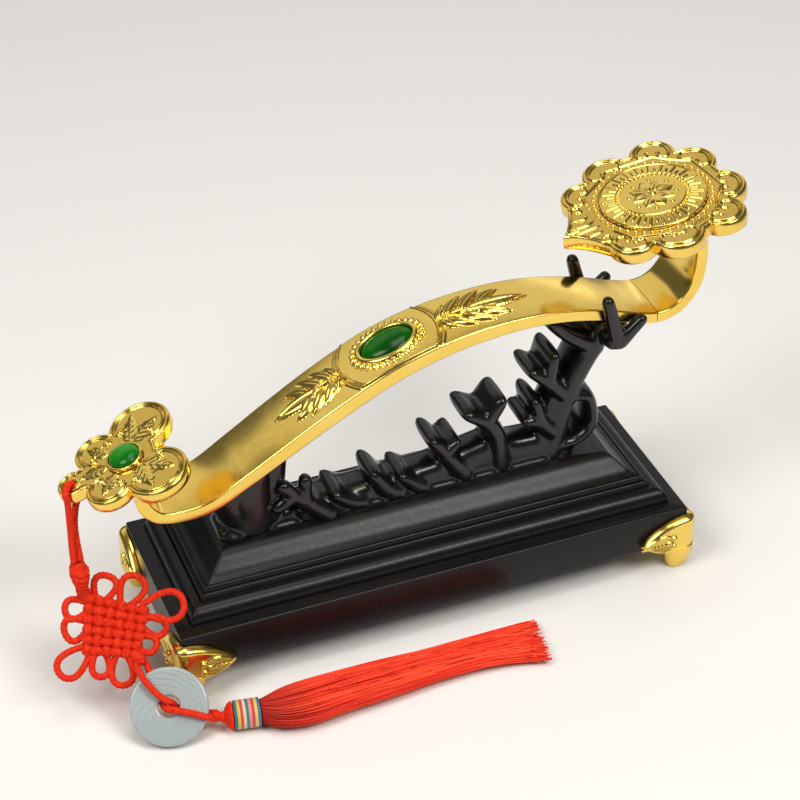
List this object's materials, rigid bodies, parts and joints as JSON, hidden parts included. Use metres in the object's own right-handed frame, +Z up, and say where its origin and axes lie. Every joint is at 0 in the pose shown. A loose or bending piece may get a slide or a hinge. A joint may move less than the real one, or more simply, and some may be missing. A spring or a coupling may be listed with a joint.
{
  "type": "ruyi ornament",
  "caption": "Gilt ruyi sceptre with set stones, lying on a black branch-shaped rack over a moulded plinth on leaf feet, with a corded knot, jade ring and tassel",
  "frame": {"origin": "On the table surface under the middle of the stand and sceptre, end to end and front to back", "axes": "+X from the sceptre's tail to its head, +Y from the front, where the pendant lies, to the back, +Z up"},
  "size_m": [0.2709, 0.109, 0.1517],
  "materials": {
    "gilt": "mirror-bright gold plate with fine relief",
    "satin_black": "satin black lacquer",
    "gloss_black": "glossy black lacquer",
    "green_stone": "polished green cabochon",
    "pale_jade": "polished pale banded stone",
    "red_cord": "braided red silk cord",
    "red_thread": "glossy red silk threads",
    "striped_thread": "thread wound in coloured stripes",
    "steel": "plain steel screws"
  },
  "bodies": {
    "stand": {"plinth": "satin_black", "moulding": "satin_black", "branch_rack": "gloss_black", "rack_screw_left": "steel", "rack_screw_right": "steel", "foot_front_left": "gilt", "foot_front_right": "gilt", "foot_back_left": "gilt", "foot_back_right": "gilt", "foot_screw_front_left": "steel", "foot_screw_front_right": "steel", "foot_screw_back_left": "steel", "foot_screw_back_right": "steel"},
    "sceptre": {"handle": "gilt", "neck": "gilt", "head_plate": "gilt", "head_medallion": "gilt", "head_screw": "steel", "tail_plate": "gilt", "tail_screw": "steel", "tail_bezel": "gilt", "tail_stone": "green_stone", "grip_bezel": "gilt", "grip_stone": "green_stone", "hanging_cord": "red_cord"},
    "pendant": {"top_knot": "red_cord", "mystic_knot": "red_cord", "front_strand": "red_cord", "back_strand": "red_cord"},
    "ring": {"jade_ring": "pale_jade"},
    "tassel": {"tassel_cap": "red_cord", "tassel_neck": "red_cord", "tassel_band": "striped_thread", "tassel_skirt": "red_thread"}
  },
  "joints": [
    {"name": "sceptre_lift", "type": "slide", "parent": "stand", "child": "sceptre", "axis": [0, 0, 1], "range_m": [0, 0.03]},
    {"name": "pendant_swivel", "type": "hinge", "parent": "sceptre", "child": "pendant", "pos_m": [-0.12649, -0.00943, 0.0519], "axis": [0, 0, 1], "range_deg": [-40, 0]},
    {"name": "ring_turn", "type": "hinge", "parent": "pendant", "child": "ring", "pos_m": [-0.1078, -0.0485, 0.011], "axis": [-0.1785, -0.6804, 0.7108], "continuous": true},
    {"name": "tassel_swing", "type": "hinge", "parent": "pendant", "child": "tassel", "pos_m": [-0.09019, -0.0551, 0.0057], "axis": [0, 0, 1], "range_deg": [-60, 0]}
  ]
}
